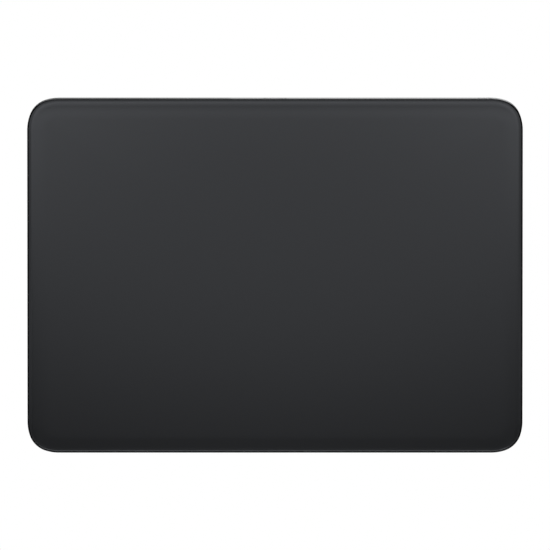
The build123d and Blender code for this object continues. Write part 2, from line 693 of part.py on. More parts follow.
# ================================================================ POWER SWITCH
FACE = HY - REAR_WALL - 0.05  # front of the shutter, just inside the rear wall
with BuildPart() as power_switch_knob:
    # shutter that fills the slot from inside at both ends of the travel
    block(65.1, 72.25, FACE - 0.4, FACE, SWITCH_Z - 1.45, SWITCH_Z + 1.45)
    # the finger piece in the slot
    with BuildSketch(rear.offset(KNOB_PROUD)):
        with Locations((-KNOB_X, SWITCH_Z)):
            RectangleRounded(KNOB_W, SWITCH_H - 0.2, 0.95)
    extrude(amount=-(KNOB_PROUD + REAR_WALL + 0.1))
    chamfer(power_switch_knob.faces().sort_by(Axis.Y)[-1].edges(), 0.12)
    # two grip grooves
    for x in (KNOB_X - 0.73, KNOB_X + 0.73):
        block(x - 0.19, x + 0.19, HY - 0.3, HY + 1, SWITCH_Z - 2, SWITCH_Z + 2, mode=Mode.SUBTRACT)
    # seat of the coloured marker, which shows only when the switch is on
    block(70.15, 72.1, FACE - 0.1, FACE + 0.2, SWITCH_Z - 1.2, SWITCH_Z + 1.2, mode=Mode.SUBTRACT)
write(power_switch_knob, "power_switch_knob")

with BuildPart() as switch_on_marker:
    block(70.15, 72.1, FACE - 0.1, FACE, SWITCH_Z - 1.2, SWITCH_Z + 1.2)
write(switch_on_marker, "switch_on_marker")

with BuildPart() as switch_stem:
    block(68.0, 69.4, FACE - 1.6, FACE - 0.4, SWITCH_Z - 0.5, SWITCH_Z + 0.5)
write(switch_stem, "switch_stem")

with BuildPart() as switch_body:
    block(63.6, 72.0, HY - 5.4, FACE - 0.55, SWITCH_Z - 1.6, SWITCH_Z + 1.35)
    block(65.6, 69.8, FACE - 1.9, FACE + 1, SWITCH_Z - 0.7, SWITCH_Z + 0.7, mode=Mode.SUBTRACT)
write(switch_body, "switch_body")

with BuildPart() as switch_bracket:
    block(63.0, 72.4, HY - 5.85, HY - 5.45, SWITCH_Z - 1.6, EAR_Z + 0.4)
    block(59.5, 63.4, HY - 6.5, HY - 4.0, EAR_Z, EAR_Z + 0.4)
    block(63.0, 63.4, HY - 5.85, HY - 4.4, SWITCH_Z - 1.6, EAR_Z + 0.4)
    block(66.4, 69.2, 49.0, HY - 5.45, EAR_Z, EAR_Z + 0.4)
    with Locations(*[(x, y, EAR_Z) for x, y in SWITCH_EARS]):
        Cylinder(SCREW_R + 0.1, 0.4, align=STAND, mode=Mode.SUBTRACT)
write(switch_bracket, "switch_bracket")

with BuildPart() as switch_screws:
    with Locations(*[(x, y, EAR_Z) for x, y in SWITCH_EARS]):
        Cylinder(1.1, 0.45, align=HANG)
        Cylinder(SCREW_R, 1.2, align=STAND)
    with Locations(*[(x, y, EAR_Z - 0.45) for x, y in SWITCH_EARS]):
        Box(1.1, 0.28, 0.4, align=CENTRE, mode=Mode.SUBTRACT)
        Box(0.28, 1.1, 0.4, align=CENTRE, mode=Mode.SUBTRACT)
write(switch_screws, "switch_screws")

with BuildPart() as switch_flex:
    with BuildSketch(Plane.XY.offset(SWITCH_Z - 1.6 - SF_T)):
        patch(63.8, 67.0, 47.0, 54.6)
        patch(55.8, 67.0, 46.4, 48.4)
    extrude(amount=SF_T)
write(switch_flex, "switch_flex")

# ================================================================ ANTENNA
with BuildPart() as antenna_carrier:
    block(-58, -14, 45.2, 52.8, ANTENNA_Z, ANTENNA_TOP)
    fillet(antenna_carrier.edges().filter_by(Axis.Z), 0.8)
    # pockets that keep the moulding's walls even
    for x in (-48.5, -42.25, -36, -29.75, -23.5):
        block(x - 2.4, x + 2.4, 46.4, 51.6, 2.8, 5, mode=Mode.SUBTRACT)
    with Locations(*[(x, y, ANTENNA_Z) for x, y in ANTENNA_SCREWS]):
        Cylinder(1.25, 0.5, align=STAND, mode=Mode.SUBTRACT)
        Cylinder(SCREW_R + 0.1, 4, align=STAND, mode=Mode.SUBTRACT)
write(antenna_carrier, "antenna_carrier")

with BuildPart() as antenna_screws:
    with Locations(*[(x, y, ANTENNA_Z + 0.5) for x, y in ANTENNA_SCREWS]):
        Cylinder(1.15, 0.45, align=HANG)
        Cylinder(SCREW_R, 3.2, align=STAND)
    with Locations(*[(x, y, ANTENNA_Z + 0.05) for x, y in ANTENNA_SCREWS]):
        Box(1.1, 0.28, 0.4, align=CENTRE, mode=Mode.SUBTRACT)
        Box(0.28, 1.1, 0.4, align=CENTRE, mode=Mode.SUBTRACT)
write(antenna_screws, "antenna_screws")

with BuildPart() as antenna_trace:
    with BuildSketch(Plane.XY.offset(ANTENNA_Z - SF_T)):
        patch(-52.6, -19.4, 50.6, 52.0)
        patch(-52.6, -51.2, 46.0, 52.0)
        patch(-20.8, -19.4, 46.0, 52.0)
        patch(-27.0, -25.4, 46.0, 52.0)
        patch(-27.0, -14.4, 46.0, 47.4)
    extrude(amount=SF_T)
write(antenna_trace, "antenna_trace")

# thin coaxial lead, held along its whole way under the port
CABLE_R = 0.4
CABLE_Z = 2.75
cable_points = [(-14, 47.4), (-5.5, 47.4), (2.5, 45.6), (10.6, 45.6)]
cable_radii = [16.0, 16.0]
print("antenna lead radii", cable_radii)
with BuildPart() as antenna_cable:
    with BuildLine(Plane.XY.offset(CABLE_Z)) as cable_path:
        FilletPolyline(*cable_points, radius=cable_radii)
    with BuildSketch(Plane(origin=(-14, 47.4, CABLE_Z), z_dir=(1, 0, 0))):
        Circle(CABLE_R)
    sweep(path=cable_path.wires()[0])
write(antenna_cable, "antenna_cable")
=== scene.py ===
"""Looks of the wireless trackpad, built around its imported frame. Metres, row frame: +X right, +Y to the tall rear, +Z up.

The visible shell pieces are modelled here as finely rounded meshes that stay inside the frame's pieces; everything
inside keeps the frame's shape and gets a finish of its own.
"""

import json
import math

import bmesh
import bpy
from mathutils import Matrix, Vector


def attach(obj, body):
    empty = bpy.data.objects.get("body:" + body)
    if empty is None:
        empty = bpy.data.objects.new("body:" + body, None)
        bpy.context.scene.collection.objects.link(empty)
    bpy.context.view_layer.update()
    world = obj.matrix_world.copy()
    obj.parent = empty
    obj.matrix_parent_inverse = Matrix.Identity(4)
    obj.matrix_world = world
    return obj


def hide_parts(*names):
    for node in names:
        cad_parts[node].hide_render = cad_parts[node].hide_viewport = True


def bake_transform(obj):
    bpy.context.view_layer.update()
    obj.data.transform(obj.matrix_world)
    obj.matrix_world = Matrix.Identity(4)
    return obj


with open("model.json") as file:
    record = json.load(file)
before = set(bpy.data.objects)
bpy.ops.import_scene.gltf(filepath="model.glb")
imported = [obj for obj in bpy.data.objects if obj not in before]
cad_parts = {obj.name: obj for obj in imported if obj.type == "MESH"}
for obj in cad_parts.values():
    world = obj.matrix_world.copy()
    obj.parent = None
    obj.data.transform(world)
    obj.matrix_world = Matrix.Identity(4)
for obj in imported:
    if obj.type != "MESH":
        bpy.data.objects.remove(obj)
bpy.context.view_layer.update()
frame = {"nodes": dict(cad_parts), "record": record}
NODES = frame["nodes"]
MM = 0.001

# ---------------------------------------------------------------- sizes shared with the frame (mm)
WIDTH, DEPTH = 160.0, 114.9
FRONT_H, REAR_H = 4.9, 10.9
R1, R2, TURN = 14.31, 7.877, math.radians(18.0)
SLOPE = math.atan2(REAR_H - FRONT_H, DEPTH)
HX, HY = WIDTH / 2, DEPTH / 2
HV = HY / math.cos(SLOPE)
MID_Z = (FRONT_H + REAR_H) / 2
SIN, COS = math.sin(SLOPE), math.cos(SLOPE)


def deck(x, v, w):
    """Row point, in metres, of a point x across, v up the glass's slope and w above its top face (mm)."""
    return Vector((x * MM, (v * COS - w * SIN) * MM, (MID_Z + v * SIN + w * COS) * MM))


# ================================================================ CAMERA
TILT_BACK = math.radians(3.8)  # the view leans this far from straight down, towards the rear
FRAME_W = 0.17764  # width of the picture at the object, metres
LENS = 1500.0  # a very long lens, so that the sides stay parallel
look_at = Vector((0.0, 0.00036, 0.0079))
distance = FRAME_W * LENS / 36.0
cam_data = bpy.data.cameras.new("camera")
cam_data.lens = LENS
cam_data.sensor_width = 36.0
cam_data.clip_start, cam_data.clip_end = 0.1, 50.0
cam = bpy.data.objects.new("camera", cam_data)
bpy.context.scene.collection.objects.link(cam)
away = Vector((0.0, math.sin(TILT_BACK), math.cos(TILT_BACK)))
up = Vector((0.0, math.cos(TILT_BACK), -math.sin(TILT_BACK)))
cam.matrix_world = Matrix.Translation(look_at + away * distance) @ Matrix(
    ((1, 0, 0), up, away)
).transposed().to_4x4()
bpy.context.scene.camera = cam


# ================================================================ MATERIALS
class Nodes:
    """Short-hand for building a node tree."""

    def __init__(self, tree):
        self.tree = tree
        self.tree.nodes.clear()

    def add(self, kind, **values):
        node = self.tree.nodes.new(kind)
        for key, value in values.items():
            if hasattr(node, key) and key not in node.inputs:
                setattr(node, key, value)
            else:
                node.inputs[key].default_value = value
        return node

    def link(self, a, b):
        self.tree.links.new(a, b)


def material(name):
    found = bpy.data.materials.get(name)
    if found is not None:
        found.name = name + ".old"
    mat = bpy.data.materials.new(name)
    mat.use_nodes = True
    return mat, Nodes(mat.node_tree)


def principled(n, color, rough, metal=0.0, ior=1.5, **more):
    out = n.add("ShaderNodeOutputMaterial")
    bsdf = n.add("ShaderNodeBsdfPrincipled")
    bsdf.inputs["Base Color"].default_value = (*color, 1.0)
    bsdf.inputs["Roughness"].default_value = rough
    bsdf.inputs["Metallic"].default_value = metal
    bsdf.inputs["IOR"].default_value = ior
    for key, value in more.items():
        bsdf.inputs[key.replace("_", " ")].default_value = value
    n.link(bsdf.outputs[0], out.inputs["Surface"])
    return bsdf


def noise(n, scale, detail=4.0, rough=0.55, stretch=None, kind="ShaderNodeTexNoise"):
    """A noise texture in the object's own metres; scale is in features per metre."""
    co = n.add("ShaderNodeTexCoord")
    source = co.outputs["Object"]
    if stretch is not None:
        mapping = n.add("ShaderNodeMapping")
        mapping.inputs["Scale"].default_value = stretch
        n.link(source, mapping.inputs["Vector"])
        source = mapping.outputs[0]
    tex = n.add(kind)
    tex.inputs["Scale"].default_value = scale
    if "Detail" in tex.inputs:
        tex.inputs["Detail"].default_value = detail
        tex.inputs["Roughness"].default_value = rough
    n.link(source, tex.inputs["Vector"])
    return tex


def ramp(n, source, low, high, at=(0.3, 0.7)):
    """Maps a noise to a range of numbers."""
    node = n.add("ShaderNodeMapRange")
    node.inputs["From Min"].default_value = at[0]
    node.inputs["From Max"].default_value = at[1]
    node.inputs["To Min"].default_value = low
    node.inputs["To Max"].default_value = high
    n.link(source, node.inputs["Value"])
    return node.outputs[0]


def tint(n, source, dark, light, at=(0.3, 0.7)):
    """Maps a noise to a colour between two colours."""
    node = n.add("ShaderNodeValToRGB")
    node.color_ramp.elements[0].position = at[0]
    node.color_ramp.elements[0].color = (*dark, 1.0)
    node.color_ramp.elements[1].position = at[1]
    node.color_ramp.elements[1].color = (*light, 1.0)
    n.link(source, node.inputs["Fac"])
    return node.outputs[0]


def bump(n, bsdf, source, strength, height_mm):
    node = n.add("ShaderNodeBump")
    node.inputs["Strength"].default_value = strength
    node.inputs["Distance"].default_value = height_mm * MM
    n.link(source, node.inputs["Height"])
    n.link(node.outputs[0], bsdf.inputs["Normal"])
    return node


def shade(c, k):
    return tuple(min(1.0, x * k) for x in c)


def grained(name, color, rough, metal=0.0, grain=900.0, grain_mm=0.01, vary=0.08, spread=0.05, strength=0.35, stretch=None, **more):
    """A finish with a fine grain in its relief, and a slow drift of tone and gloss."""
    mat, n = material(name)
    bsdf = principled(n, color, rough, metal, **more)
    slow = noise(n, 60.0, 3.0)
    fine = noise(n, grain, 5.0, 0.6, stretch)
    n.link(tint(n, slow.outputs["Fac"], shade(color, 1 - vary), shade(color, 1 + vary)), bsdf.inputs["Base Color"])
    n.link(ramp(n, fine.outputs["Fac"], rough - spread, rough + spread), bsdf.inputs["Roughness"])
    bump(n, bsdf, fine.outputs["Fac"], strength, grain_mm)
    return mat


# matte etched glass over black ink: nearly black body, soft gloss broken by the etch, faintly blue coating
def etched_glass():
    mat, n = material("glass_black")
    body = (0.0012, 0.0013, 0.0014)
    bsdf = principled(n, body, 0.30, 0.0, ior=1.5)
    bsdf.inputs["Specular Tint"].default_value = (0.897, 0.932, 1.0, 1.0)
    etch = noise(n, 5200.0, 3.0, 0.65)
    cloud = noise(n, 24.0, 2.0, 0.5)
    n.link(tint(n, cloud.outputs["Fac"], shade(body, 0.96), shade(body, 1.04)), bsdf.inputs["Base Color"])
    n.link(ramp(n, etch.outputs["Fac"], 0.28, 0.32), bsdf.inputs["Roughness"])
    bump(n, bsdf, etch.outputs["Fac"], 0.06, 0.004)
    return mat


# the ground rim of the glass: dull, with next to no gloss
def glass_side():
    mat, n = material("glass_black_edge")
    body = (0.0013, 0.0014, 0.0016)
    bsdf = principled(n, body, 0.4, 0.0, ior=1.4)
    bsdf.inputs["Specular IOR Level"].default_value = 0.1
    etch = noise(n, 3800.0, 3.0, 0.6)
    n.link(tint(n, etch.outputs["Fac"], shade(body, 0.9), shade(body, 1.1)), bsdf.inputs["Base Color"])
    n.link(ramp(n, etch.outputs["Fac"], 0.36, 0.44), bsdf.inputs["Roughness"])
    bump(n, bsdf, etch.outputs["Fac"], 0.15, 0.004)
    return mat


# bead-blasted, anodised aluminium: a fine pebbled skin of tiny dimples
def blasted_aluminium(name="aluminium_silver", color=(0.60, 0.605, 0.615), rough=0.36):
    mat, n = material(name)
    bsdf = principled(n, color, rough, 1.0)
    beads = noise(n, 5200.0, kind="ShaderNodeTexVoronoi")
    fine = noise(n, 9000.0, 2.0, 0.6)
    slow = noise(n, 45.0, 3.0)
    n.link(tint(n, slow.outputs["Fac"], shade(color, 0.965), shade(color, 1.035)), bsdf.inputs["Base Color"])
    n.link(ramp(n, fine.outputs["Fac"], rough - 0.01, rough + 0.02), bsdf.inputs["Roughness"])
    bump(n, bsdf, beads.outputs["Distance"], 0.1, 0.005)
    return mat


def printed_board(name, dark, light, rough=0.38):
    """Solder mask over a grid of copper tracks that shows as faint relief and tone."""
    mat, n = material(name)
    bsdf = principled(n, light, rough, 0.0, ior=1.5)
    tracks = noise(n, 420.0, kind="ShaderNodeTexVoronoi")
    tracks.distance = "MANHATTAN"
    fine = noise(n, 2400.0, 3.0)
    n.link(tint(n, tracks.outputs["Distance"], dark, light, (0.25, 0.42)), bsdf.inputs["Base Color"])
    n.link(ramp(n, fine.outputs["Fac"], rough - 0.06, rough + 0.06), bsdf.inputs["Roughness"])
    bump(n, bsdf, tracks.outputs["Distance"], 0.12, 0.02)
    return mat


def brushed(name, color, rough, along=(1.0, 14.0, 14.0)):
    mat, n = material(name)
    bsdf = principled(n, color, rough, 1.0)
    lines = noise(n, 700.0, 3.0, 0.6, stretch=along)
    slow = noise(n, 70.0, 2.0)
    n.link(tint(n, slow.outputs["Fac"], shade(color, 0.92), shade(color, 1.05)), bsdf.inputs["Base Color"])
    n.link(ramp(n, lines.outputs["Fac"], rough - 0.06, rough + 0.08), bsdf.inputs["Roughness"])
    bump(n, bsdf, lines.outputs["Fac"], 0.12, 0.004)
    return mat


def wound_copper():
    """Enamelled wire: the turns show as fine ribs across the leg, with painted shade that darkens the copper between
    them.
    """
    mat, n = material("copper")
    color = (0.62, 0.24, 0.10)
    bsdf = principled(n, color, 0.3, 1.0, Coat_Weight=0.6, Coat_Roughness=0.15)
    co = n.add("ShaderNodeTexCoord")
    wave = n.add("ShaderNodeTexWave")
    wave.wave_type = "BANDS"
    wave.bands_direction = "Y"
    wave.inputs["Scale"].default_value = 1800.0
    wave.inputs["Distortion"].default_value = 0.4
    wave.inputs["Detail"].default_value = 1.0
    n.link(co.outputs["Object"], wave.inputs["Vector"])
    # painted shade between the turns and a faint painted highlight on their crests
    n.link(tint(n, wave.outputs["Fac"], shade(color, 0.45), shade(color, 1.1), (0.1, 0.7)), bsdf.inputs["Base Color"])
    bump(n, bsdf, wave.outputs["Fac"], 0.6, 0.05)
    return mat


def pouch_foil():
    mat, n = material("battery_foil")
    color = (0.10, 0.10, 0.107)
    bsdf = principled(n, color, 0.33, 0.35)
    crease_and_its_shade = noise(n, 180.0, 5.0, 0.6)
    fine = noise(n, 1600.0, 2.0)
    # painted shade and highlight: the foil is drawn darker in its creases and lighter on their ridges
    n.link(tint(n, crease_and_its_shade.outputs["Fac"], shade(color, 0.85), shade(color, 1.15)), bsdf.inputs["Base Color"])
    n.link(ramp(n, fine.outputs["Fac"], 0.27, 0.4), bsdf.inputs["Roughness"])
    bump(n, bsdf, crease_and_its_shade.outputs["Fac"], 0.25, 0.06)
    return mat


def silicone():
    mat, n = material("gel")
    color = (0.56, 0.57, 0.56)
    bsdf = principled(n, color, 0.42, 0.0, ior=1.41, Subsurface_Weight=0.5, Subsurface_Scale=0.001)
    fine = noise(n, 1400.0, 3.0)
    n.link(tint(n, fine.outputs["Fac"], shade(color, 0.94), shade(color, 1.04)), bsdf.inputs["Base Color"])
    n.link(ramp(n, fine.outputs["Fac"], 0.36, 0.48), bsdf.inputs["Roughness"])
    bump(n, bsdf, fine.outputs["Fac"], 0.1, 0.01)
    return mat


FINISH = {
    "glass_black": etched_glass(),
    "aluminium_silver": blasted_aluminium(),
    "cover_plastic": grained("cover_plastic", (0.030, 0.0305, 0.032), 0.5, grain=2600.0, grain_mm=0.012, strength=0.3, vary=0.05),
    "foot_plastic": grained("foot_plastic", (0.052, 0.052, 0.054), 0.42, grain=1800.0, grain_mm=0.008, strength=0.2, vary=0.06),
    "adhesive": grained("adhesive", (0.03, 0.03, 0.03), 0.6, grain=700.0, grain_mm=0.02),
    "board_black": printed_board("board_black", (0.008, 0.010, 0.009), (0.018, 0.021, 0.019), 0.4),
    "board_green": printed_board("board_green", (0.006, 0.055, 0.026), (0.015, 0.115, 0.055), 0.33),
    "chip_black": grained("chip_black", (0.016, 0.016, 0.018), 0.5, grain=2200.0, grain_mm=0.008),
    "passives": grained("passives", (0.30, 0.20, 0.12), 0.4, grain=1500.0, grain_mm=0.01, vary=0.2),
    "connector": grained("connector", (0.56, 0.53, 0.46), 0.42, grain=1200.0, grain_mm=0.01),
    "flex": grained("flex", (0.19, 0.075, 0.014), 0.3, grain=500.0, grain_mm=0.02, vary=0.15, Coat_Weight=0.4),
    "gel": silicone(),
    "spring_steel": brushed("spring_steel", (0.46, 0.46, 0.45), 0.27),
    "steel_plate": brushed("steel_plate", (0.50, 0.50, 0.51), 0.3),
    "soft_iron": brushed("soft_iron", (0.16, 0.16, 0.165), 0.4, (1.0, 1.0, 30.0)),
    "screw_steel": grained("screw_steel", (0.36, 0.36, 0.375), 0.28, metal=1.0, grain=2400.0, grain_mm=0.006),
    "shield_steel": brushed("shield_steel", (0.62, 0.63, 0.63), 0.24),
    "copper": wound_copper(),
    "gold": grained("gold", (0.80, 0.56, 0.20), 0.22, metal=1.0, grain=3000.0, grain_mm=0.004, strength=0.15),
    "battery_foil": pouch_foil(),
    "port_black": grained("port_black", (0.022, 0.022, 0.024), 0.42, grain=2400.0, grain_mm=0.008),
    "switch_silver": blasted_aluminium("switch_silver", (0.56, 0.565, 0.575), 0.33),
    "switch_green": grained("switch_green", (0.03, 0.36, 0.06), 0.32, grain=1500.0, grain_mm=0.004),
    "switch_black": grained("switch_black", (0.018, 0.018, 0.019), 0.45, grain=2200.0, grain_mm=0.008),
    "cable_grey": grained("cable_grey", (0.09, 0.09, 0.095), 0.4, grain=1600.0, grain_mm=0.01),
}
GLASS_EDGE = glass_side()

slot_of = {s["node"]: s["material_slot"] for s in frame["record"]["subparts"]}
for name, node in NODES.items():
    node.data.materials.clear()
    node.data.materials.append(FINISH[slot_of[name]])


# ================================================================ SHELL MESHES
def outline(half_x, half_y, inset, steps=(7, 16)):
    """Closed loop of points and outward directions: the plan of the case, drawn inward by inset (mm)."""
    hx, hy, r1, r2 = half_x - inset, half_y - inset, R1 - inset, R2 - inset
    reach = r1 - (r1 - r2) * (math.cos(TURN) - math.sin(TURN))
    quarter = math.pi / 2
    c1 = (hx - r1, hy - reach)
    c2 = (c1[0] + (r1 - r2) * math.cos(TURN), c1[1] + (r1 - r2) * math.sin(TURN))
    c3 = (hx - reach, hy - r1)
    corner = []
    for c, r, a, b, k in (
        (c1, r1, 0.0, TURN, steps[0]),
        (c2, r2, TURN, quarter - TURN, steps[1]),
        (c3, r1, quarter - TURN, quarter, steps[0]),
    ):
        for i in range(k + (c is c3)):
            t = a + (b - a) * i / k
            corner.append((c[0] + r * math.cos(t), c[1] + r * math.sin(t), math.cos(t), math.sin(t)))
    loop = []
    for sx, sy in ((1, 1), (-1, 1), (-1, -1), (1, -1)):
        run = corner if sx * sy > 0 else corner[::-1]
        loop += [(sx * x, sy * y, sx * nx, sy * ny) for x, y, nx, ny in run]
    # points along the straight sides, so that no face is longer than 4 mm
    full = []
    for i, p in enumerate(loop):
        q = loop[(i + 1) % len(loop)]
        full.append(p)
        gap = math.hypot(q[0] - p[0], q[1] - p[1])
        if gap > 4.0:
            k = int(gap // 3.5)
            for j in range(1, k):
                t = j / k
                full.append(tuple(a + (b - a) * t for a, b in zip(p, q)))
    return full


# the glass: a flat face that eases into a soft edge, a round, dull rim and a small lower chamfer. Each list gives
# (distance in from the edge, tilt of the surface in degrees) for one side; a corner blends the sides that it joins.
EASE_FRONT = [
    (6.6, 0.0), (5.6, 0.2), (5.0, 0.5), (4.6, 0.9), (4.2, 1.1), (3.5, 1.1), (2.4, 1.0), (1.75, 0.9), (1.5, 0.4),
    (1.3, -0.3), (1.1, -0.5), (0.85, -0.3), (0.80, 15.8), (0.50, 16.5), (0.48, 20.0),
]
EASE_SIDE = [
    (6.6, 0.0), (5.5, 0.9), (4.5, 1.8), (3.5, 2.4), (2.6, 2.5), (2.1, 2.8), (1.75, 4.0), (1.45, 8.5), (1.3, 11.0),
    (1.1, 14.0), (0.95, 15.5), (0.8, 15.5), (0.5, 15.0), (0.48, 20.0),
]
EASE_REAR = [
    (6.6, 0.4), (5.6, 1.2), (4.6, 1.6), (4.0, 1.4), (3.5, 0.6), (3.0, 0.0), (2.7, -0.9), (2.4, -1.7), (2.1, -0.5),
    (1.75, 1.0), (1.4, 3.0), (1.1, 5.5), (0.85, 9.0), (0.6, 12.0), (0.48, 14.0),
]
RIM_WIDE, RIM_HIGH = 0.48, 0.31
REAR_DULL = 0.06  # at the rear the dull part starts further out
THICK = 0.8


def tilt_at(ease, x):
    for (x0, t0), (x1, t1) in zip(ease, ease[1:]):
        if x >= x1:
            return t0 + (t1 - t0) * (x0 - x) / (x0 - x1)
    return ease[-1][1]


def edge_profile(ease, insets):
    """(height, tilt in radians) at each distance in from the edge, from the flat face to the foot of the rim."""
    rows, fall, before = [], 0.0, None
    foot_tilt = math.radians(ease[-1][1])
    ratio = 0.6  # height to width of the rim's oval
    first = math.atan(math.tan(foot_tilt) / ratio)
    wide = RIM_WIDE / (1 - math.sin(first))
    high = RIM_HIGH / math.cos(first)
    for x in insets:
        if x >= RIM_WIDE:
            tilt = math.radians(tilt_at(ease, x))
            if before is not None:
                fall += (before[0] - x) * math.tan((tilt + before[1]) / 2)
            before, drop = (x, tilt), 0.0
        else:
            turn = math.asin(1 - x / wide)
            drop = high * (math.cos(first) - math.cos(turn))
            tilt = math.pi / 2 if x <= 0 else math.atan(math.tan(turn) * ratio)
        rows.append((-fall - drop, tilt))
    return rows


def soft_glass(name, place):
    """The glass as a closed shell of rings, with normals set from its tilts, so that its face stays flat and its edge
    stays round."""
    eases = (EASE_FRONT, EASE_SIDE, EASE_REAR)
    insets = sorted({x for ease in eases for x, t in ease} | {6.1, 3.8, 1.2, 1.0, 0.7, 0.54}, reverse=True)
    insets += [RIM_WIDE * (1 - math.sin(math.radians(90.0 * k / 14))) for k in range(1, 15)]
    insets[-1] = 0.0
    sides = [edge_profile(ease, insets) for ease in eases]
    rows = [(x, [side[k] for side in sides]) for k, x in enumerate(insets)]
    for x, h, lean in ((0.0, -THICK + 0.08, 90), (0.02, -THICK + 0.03, 120), (0.08, -THICK, 150), (0.30, -THICK, 180)):
        rows.append((x, [(h, math.radians(lean))] * 3))
    verts, faces, mats, normals = [], [], [], []
    for inset, sides_here in rows:
        loop = outline(HX, HV, inset)
        count = len(loop)
        for x, y, nx, ny in loop:
            side = nx ** 8 if ny < 0 else nx * nx  # the front's edge runs on around its corners
            share = (1 - side if ny < 0 else 0.0, side, 1 - side if ny >= 0 else 0.0)
            h = sum(k * side[0] for k, side in zip(share, sides_here))
            tilt = sum(k * side[1] for k, side in zip(share, sides_here))
            verts.append(place(x, y, h))
            out = math.sin(tilt)
            normals.append((place(x + nx * out, y + ny * out, h + math.cos(tilt)) - verts[-1]).normalized())
    for r in range(len(rows) - 1):
        for i in range(count):
            j = (i + 1) % count
            faces.append((r * count + i, (r + 1) * count + i, (r + 1) * count + j, r * count + j))
            start = REAR_DULL if loop[i][3] > 0.8 else RIM_WIDE
            mats.append(1 if rows[r + 1][0] < start - 1e-6 or r + 2 > len(insets) else 0)
    for ring, turn, dull in ((0, 1, 0), (len(rows) - 1, -1, 1)):  # a fan from the middle
        h = rows[ring][1][0][0]
        verts.append(place(0, 0, h))
        normals.append((place(0, 0, h + turn) - place(0, 0, h)).normalized())
        for i in range(count):
            pair = (ring * count + i, ring * count + (i + 1) % count)
            faces.append((len(verts) - 1, *pair[::turn]))
            mats.append(dull)
    mesh = bpy.data.meshes.new(name)
    mesh.from_pydata([tuple(v) for v in verts], [], faces)
    mesh.update()
    mesh.materials.append(FINISH["glass_black"])
    mesh.materials.append(GLASS_EDGE)
    for p, k in zip(mesh.polygons, mats):
        p.material_index = k
        p.use_smooth = True
    obj = bpy.data.objects.new(name, mesh)
    bpy.context.scene.collection.objects.link(obj)
    mesh.normals_split_custom_set_from_vertices([tuple(v) for v in normals])
    return obj


glass = soft_glass("glass_top", deck)
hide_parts("glass_plate")
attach(glass, "touch_plate")


# the case: the frame's own shape, with the true normals of its outline and its round lower rim
CASE_INSET, RIM_Z, RIM_ROUND = 0.06, 0.6, 1.3
REACH = R1 - (R1 - R2) * (math.cos(TURN) - math.sin(TURN))
CENTRE_1 = (HX - R1, HY - REACH)
CENTRE_2 = (CENTRE_1[0] + (R1 - R2) * math.cos(TURN), CENTRE_1[1] + (R1 - R2) * math.sin(TURN))
CENTRE_3 = (HX - REACH, HY - R1)


def outward(x, y, along_x):
    """(direction x, direction y, inset) of the outline at a point; along_x picks the side on the straights."""
    ax, ay = abs(x), abs(y)
    if ax <= CENTRE_3[0] or ay <= CENTRE_1[1]:
        if (along_x and ay <= CENTRE_1[1]) or ax > CENTRE_3[0]:
            dx, dy, inset = 1.0, 0.0, HX - ax
        else:
            dx, dy, inset = 0.0, 1.0, HY - ay
    else:
        turn = math.atan2(ay - CENTRE_2[1], ax - CENTRE_2[0])
        centre, radius = CENTRE_2, R2
        if turn < TURN:
            centre, radius = CENTRE_1, R1
        elif turn > math.pi / 2 - TURN:
            centre, radius = CENTRE_3, R1
        far = math.hypot(ax - centre[0], ay - centre[1])
        dx, dy, inset = (ax - centre[0]) / far, (ay - centre[1]) / far, radius - far
    return math.copysign(dx, x), math.copysign(dy, y), inset


def case_shell():
    source = NODES["housing"]
    mesh = source.data.copy()
    mesh.name = "case_shell"
    obj = bpy.data.objects.new("case_shell", mesh)
    bpy.context.scene.collection.objects.link(obj)
    obj.matrix_world = source.matrix_world.copy()
    place, turn = source.matrix_world, source.matrix_world.to_3x3()
    back = turn.transposed()
    normals = [corner.vector.copy() for corner in mesh.corner_normals]
    spots = [place @ v.co / MM for v in mesh.vertices]
    for face in mesh.polygons:
        facing = (turn @ face.normal).normalized()
        level = math.hypot(facing.x, facing.y)
        if level < 0.03 or facing.z > 0.02:
            continue
        middle = sum((spots[v] for v in face.vertices), Vector()) / len(face.vertices)
        dx, dy, inset = outward(middle.x, middle.y, abs(facing.x) > abs(facing.y))
        if facing.x * dx + facing.y * dy < 0.97 * level or inset > CASE_INSET + RIM_ROUND + 0.02:
            continue
        upright = facing.z > -0.02
        if upright and (inset > CASE_INSET + 0.03 or middle.z < RIM_Z + RIM_ROUND - 0.3):
            continue
        if not upright and middle.z > RIM_Z + RIM_ROUND + 0.01:
            continue
        for corner in face.loop_indices:
            at = spots[mesh.loops[corner].vertex_index]
            dx, dy, inset = outward(at.x, at.y, abs(facing.x) > abs(facing.y))
            true = Vector((dx, dy, 0.0))
            if at.z < RIM_Z + RIM_ROUND - 1e-3:
                out = max(0.0, CASE_INSET + RIM_ROUND - inset)
                down = at.z - (RIM_Z + RIM_ROUND)
                true = Vector((dx * out, dy * out, down))
            normals[corner] = (back @ true).normalized()
    mesh.normals_split_custom_set([tuple(v) for v in normals])
    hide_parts("housing")
    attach(obj, "housing")
    return obj


case_shell()


